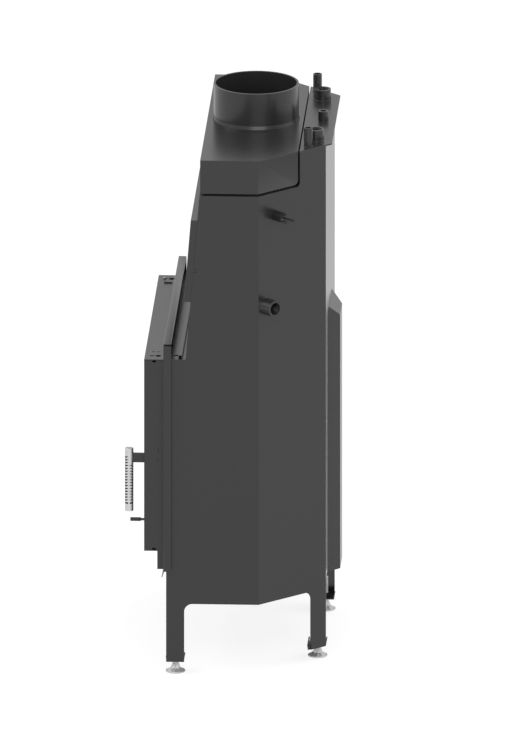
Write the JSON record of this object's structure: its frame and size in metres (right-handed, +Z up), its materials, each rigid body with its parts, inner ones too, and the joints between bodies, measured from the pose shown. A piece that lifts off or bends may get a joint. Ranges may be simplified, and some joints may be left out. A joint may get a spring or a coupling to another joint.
{
  "type": "water jacket fireplace insert",
  "caption": "Steel wood-burning fireplace insert with a water jacket, a glazed side-hinged door, a smoke hood with a round flue collar, and levelling feet.",
  "frame": {"origin": "on the floor, under the middle of the whole object", "axes": "+Z up, -Y towards the user in front of the door, +X to the right as the user sees it"},
  "size_m": [0.8124, 0.5128, 1.388],
  "materials": {
    "powder_coat": "satin dark grey powder coat",
    "boiler_steel": "primed boiler plate",
    "zinc_steel": "zinc plated sheet",
    "bright_steel": "polished stainless steel",
    "grip_dark": "dark grey satin",
    "firebrick": "dry pressed chamotte",
    "grate_iron": "as cast",
    "rope": "braided glass rope",
    "board": "pressed fibre board",
    "door_glass": "clear ceramic glass"
  },
  "bodies": {
    "insert": {"air_apron": "powder_coat", "air_nozzles": "boiler_steel", "ash_pan": "zinc_steel", "back_bricks": "firebrick", "back_panel": "powder_coat", "baffle_pegs": "boiler_steel", "body_front_plate": "powder_coat", "collar_ring": "powder_coat", "cooling_coil": "powder_coat", "door_casing": "powder_coat", "door_seat_frame": "powder_coat", "facing_frame": "powder_coat", "firebox_shell": "boiler_steel", "flame_baffle": "firebrick", "flue_collar": "powder_coat", "foot_brackets": "powder_coat", "front_wall": "powder_coat", "hearth_bricks": "firebrick", "hearth_plate": "boiler_steel", "heat_shield": "powder_coat", "hinge_clip": "powder_coat", "hood_gasket": "rope", "hood_shell": "powder_coat", "hood_top_plate": "powder_coat", "insulation_board": "board", "jacket_floor": "powder_coat", "keeper_roller": "bright_steel", "keeper_screws": "powder_coat", "latch_keeper": "zinc_steel", "ledge_channel": "powder_coat", "ledge_plate": "powder_coat", "left_side_panel": "powder_coat", "lower_tube_plate": "boiler_steel", "rear_air_duct": "powder_coat", "right_side_panel": "powder_coat", "sensor_clip": "powder_coat", "sensor_probe": "powder_coat", "sensor_sockets": "powder_coat", "shutter_guides": "zinc_steel", "side_bricks": "firebrick", "smoke_tubes": "boiler_steel", "tank_riser": "powder_coat", "tank_top_plate": "powder_coat", "upper_tube_plate": "boiler_steel", "water_sockets": "powder_coat"},
    "door": {"door_frame": "powder_coat", "door_glass": "door_glass", "glass_tape": "rope", "glass_clips": "zinc_steel", "door_gasket": "rope", "door_pins": "bright_steel"},
    "latch": {"handle_bracket": "powder_coat", "handle_tube": "bright_steel"},
    "air_control": {"air_shutter": "zinc_steel", "lever_grip": "grip_dark"},
    "fire_grate": {"grate": "grate_iron"},
    "front_right_foot": {"foot_front_right": "bright_steel"},
    "front_left_foot": {"foot_front_left": "bright_steel"},
    "rear_right_foot": {"foot_rear_right": "bright_steel"},
    "rear_left_foot": {"foot_rear_left": "bright_steel"}
  },
  "joints": [
    {"name": "door_hinge", "type": "hinge", "parent": "insert", "child": "door", "pos_m": [-0.3355, -0.19005, 0.54905], "axis": [0, 0, -1], "range_deg": [0, 95]},
    {"name": "latch_turn", "type": "hinge", "parent": "door", "child": "latch", "pos_m": [0.3465, -0.19205, 0.535], "axis": [0, 0, 1], "range_deg": [0, 20]},
    {"name": "air_slide", "type": "slide", "parent": "insert", "child": "air_control", "axis": [1, 0, 0], "range_m": [-0.035, 0.035]},
    {"name": "grate_lift", "type": "slide", "parent": "insert", "child": "fire_grate", "axis": [0, 0, 1], "range_m": [0, 0.1]},
    {"name": "front_right_foot_screw", "type": "slide", "parent": "insert", "child": "front_right_foot", "axis": [0, 0, -1], "range_m": [0, 0.02]},
    {"name": "front_left_foot_screw", "type": "slide", "parent": "insert", "child": "front_left_foot", "axis": [0, 0, -1], "range_m": [0, 0.02]},
    {"name": "rear_right_foot_screw", "type": "slide", "parent": "insert", "child": "rear_right_foot", "axis": [0, 0, -1], "range_m": [0, 0.02]},
    {"name": "rear_left_foot_screw", "type": "slide", "parent": "insert", "child": "rear_left_foot", "axis": [0, 0, -1], "range_m": [0, 0.02]}
  ]
}
